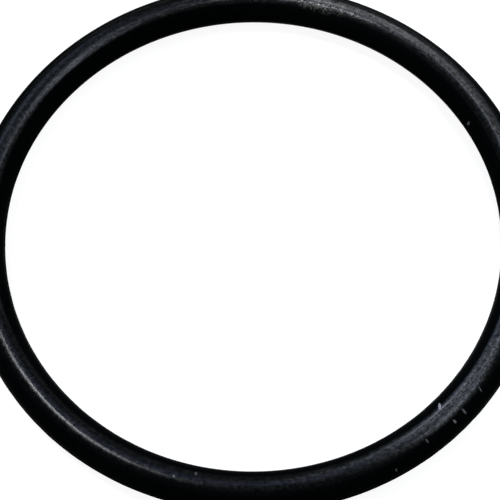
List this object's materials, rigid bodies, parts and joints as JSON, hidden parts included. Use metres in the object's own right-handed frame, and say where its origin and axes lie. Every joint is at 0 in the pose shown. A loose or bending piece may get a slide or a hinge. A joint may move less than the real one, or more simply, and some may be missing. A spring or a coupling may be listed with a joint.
{
  "type": "o-ring",
  "caption": "Round-section rubber sealing ring in one closed loop, near-black, with a fine trimmed parting line round its inside and outside.",
  "frame": {"origin": "centre of the ring, half way up its section", "axes": "+Z along the ring's own axis, up as it lies flat; X and Y are any two diameters, because the ring is round"},
  "size_m": [0.0522, 0.0522, 0.0036],
  "materials": {
    "rubber": "near-black moulded rubber, satin sheen from a trace of grease, fine mould lines along the ring"
  },
  "bodies": {
    "root": {"o_ring": "rubber"}
  },
  "joints": []
}
